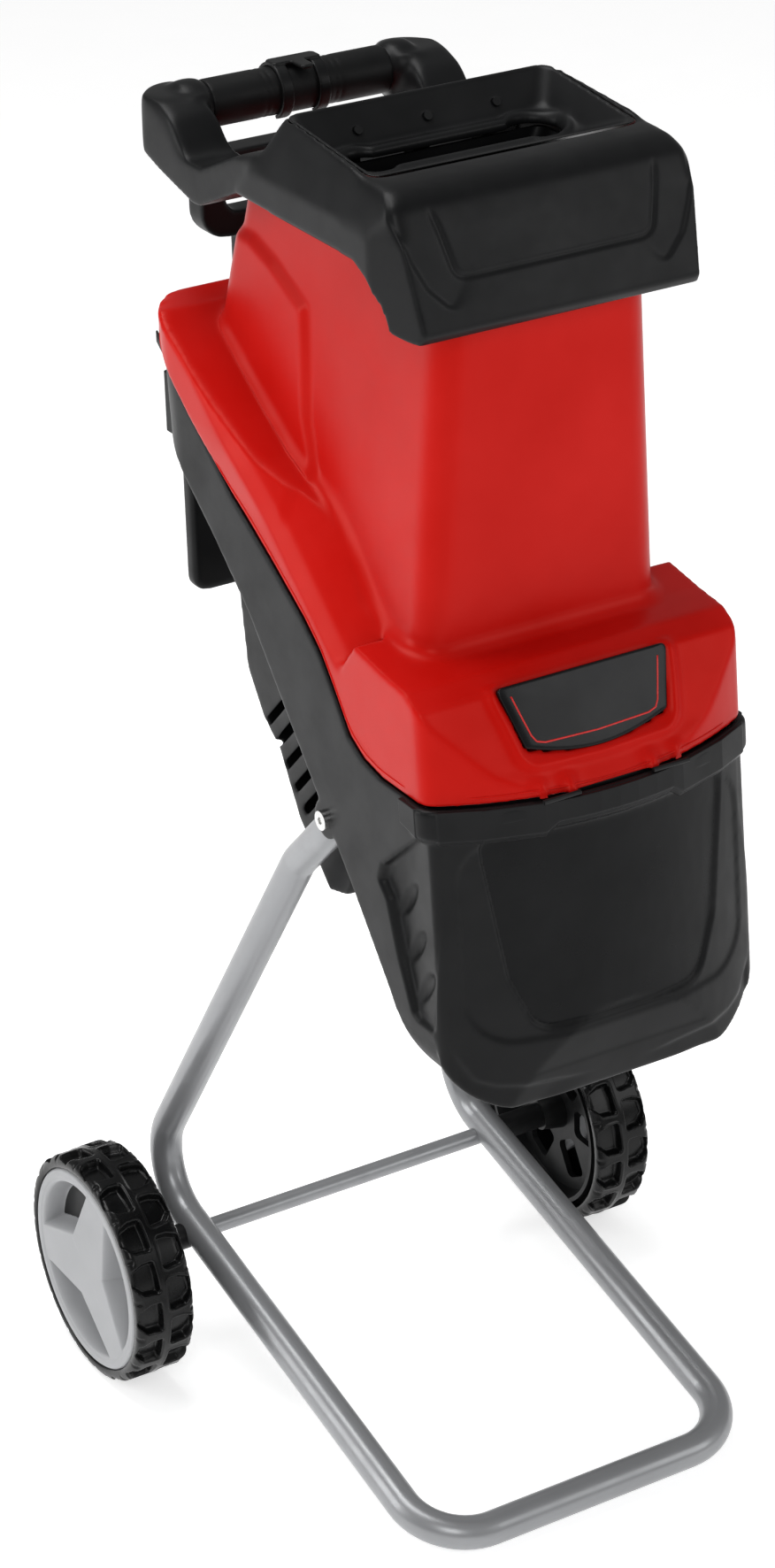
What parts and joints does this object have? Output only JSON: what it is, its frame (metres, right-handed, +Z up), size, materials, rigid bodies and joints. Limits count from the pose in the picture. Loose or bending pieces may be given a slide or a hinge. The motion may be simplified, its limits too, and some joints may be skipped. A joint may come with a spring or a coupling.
{
  "type": "garden shredder",
  "caption": "Electric garden knife shredder: sloped two-part housing with feed chimney, funnel hopper and carry grip on a bent-tube stand with transport wheels.",
  "frame": {"origin": "on the ground, in the middle of the machine's own box", "axes": "+Z up; +X along the wheel axle; -Y is the front, where the chips fall out"},
  "size_m": [0.406, 0.4298, 0.897],
  "materials": {
    "black_plastic": "fine textured, mid sheen",
    "red_plastic": "satin moulded",
    "badge_black": "smooth with a thin red outline",
    "grip_black": "soft matt",
    "tube_paint": "silver grey powder coat",
    "bright_steel": "zinc plated",
    "tool_steel": "ground",
    "cast_alloy": "as cast",
    "motor_iron": "laminated sheet, lacquered",
    "copper": "bare",
    "carbon": "pressed carbon",
    "black_rubber": "matt",
    "black_nylon": "moulded, low sheen",
    "tyre": "moulded hard tyre, mid sheen",
    "cap_grey": "light grey moulded",
    "button_green": "smooth",
    "button_red": "smooth",
    "button_yellow": "smooth"
  },
  "bodies": {
    "base": {"lower_housing": "black_plastic", "chassis_plate": "tool_steel", "chassis_screws": "bright_steel", "bearing_housing": "cast_alloy", "shaft_bearings": "bright_steel", "drive_belt": "black_rubber", "motor_bearings": "bright_steel", "motor_stator": "motor_iron", "motor_frame": "motor_iron", "motor_end_cap": "cast_alloy", "brush_holders": "copper", "carbon_brushes": "carbon", "chute_deflector": "bright_steel", "motor_cover": "black_plastic", "motor_cover_screws": "bright_steel", "switch_box": "black_plastic", "inlet_socket": "black_nylon", "inlet_pins": "copper", "interlock_switch": "black_nylon", "hinge_pins": "bright_steel", "stand_tube": "tube_paint", "cross_brace": "tube_paint", "stand_screws": "bright_steel", "axle_bolts": "bright_steel", "wheel_spacers": "black_nylon", "plunger_holder": "black_plastic", "holder_screws": "bright_steel"},
    "upper_unit": {"upper_housing": "red_plastic", "badge_plate": "badge_black", "hopper": "black_plastic", "funnel_tray": "black_plastic", "feed_chute": "black_plastic", "hopper_screws": "bright_steel", "handle_grip": "grip_black", "counter_blade": "tool_steel"},
    "cable_clip": {"cable_clip": "grip_black"},
    "disc": {"disc_shaft": "bright_steel", "knife_disc": "tool_steel", "knives": "tool_steel", "knife_screws": "bright_steel", "disc_nut": "bright_steel", "disc_pulley": "cast_alloy", "pulley_nut": "bright_steel"},
    "armature": {"motor_shaft": "bright_steel", "armature_core": "motor_iron", "commutator": "copper", "cooling_fan": "black_nylon", "motor_pulley": "cast_alloy"},
    "on_button": {"on_button": "button_green"},
    "off_button": {"off_button": "button_red"},
    "reset_button": {"reset_button": "button_yellow"},
    "lock_washer": {"lock_washer": "bright_steel"},
    "lock_knob": {"lock_knob": "black_plastic"},
    "wheel_left": {"tyre_left": "tyre", "wheel_rim_left": "black_nylon", "hub_cap_left": "cap_grey"},
    "wheel_right": {"tyre_right": "tyre", "wheel_rim_right": "black_nylon", "hub_cap_right": "cap_grey"},
    "plunger": {"plunger": "black_plastic"}
  },
  "joints": [
    {"name": "housing_open", "type": "hinge", "parent": "base", "child": "upper_unit", "pos_m": [0, -0.2045, 0.5332], "axis": [1, 0, 0], "range_deg": [0, 75]},
    {"name": "clip_turn", "type": "hinge", "parent": "upper_unit", "child": "cable_clip", "pos_m": [0, 0.151, 0.861], "axis": [1, 0, 0], "range_deg": [-30, 30]},
    {"name": "disc_spin", "type": "hinge", "parent": "base", "child": "disc", "pos_m": [0, -0.01334, 0.59523], "axis": [0, -0.6428, 0.766], "continuous": true},
    {"name": "motor_spin", "type": "hinge", "parent": "base", "child": "armature", "pos_m": [0, 0.08879, 0.56997], "axis": [0, -0.6428, 0.766], "continuous": true},
    {"name": "on_press", "type": "slide", "parent": "base", "child": "on_button", "axis": [0, -1, 0], "range_m": [0, 0.003], "stiffness_N_per_m": 400, "springref_m": -0.0005},
    {"name": "off_press", "type": "slide", "parent": "base", "child": "off_button", "axis": [0, -1, 0], "range_m": [0, 0.003], "stiffness_N_per_m": 400, "springref_m": -0.0005},
    {"name": "reset_press", "type": "slide", "parent": "base", "child": "reset_button", "axis": [0, -1, 0], "range_m": [0, 0.002], "stiffness_N_per_m": 400, "springref_m": -0.0005},
    {"name": "lock_slide", "type": "slide", "parent": "base", "child": "lock_washer", "axis": [0, 0.6428, -0.766], "range_m": [0, 0.01]},
    {"name": "lock_turn", "type": "hinge", "parent": "lock_washer", "child": "lock_knob", "pos_m": [0, 0.15347, 0.67646], "axis": [0, -0.6428, 0.766], "range_deg": [0, 900]},
    {"name": "wheel_left_spin", "type": "hinge", "parent": "base", "child": "wheel_left", "pos_m": [-0.18, 0.135, 0.08], "axis": [1, 0, 0], "continuous": true},
    {"name": "wheel_right_spin", "type": "hinge", "parent": "base", "child": "wheel_right", "pos_m": [0.18, 0.135, 0.08], "axis": [1, 0, 0], "continuous": true},
    {"name": "plunger_lift", "type": "slide", "parent": "base", "child": "plunger", "axis": [0, 0, 1], "range_m": [0, 0.135]}
  ],
  "couplings": [
    {"joint": "motor_spin", "follows": "disc_spin", "ratio": 4},
    {"joint": "lock_turn", "follows": "lock_slide", "rad_per_m": 1569.2}
  ]
}
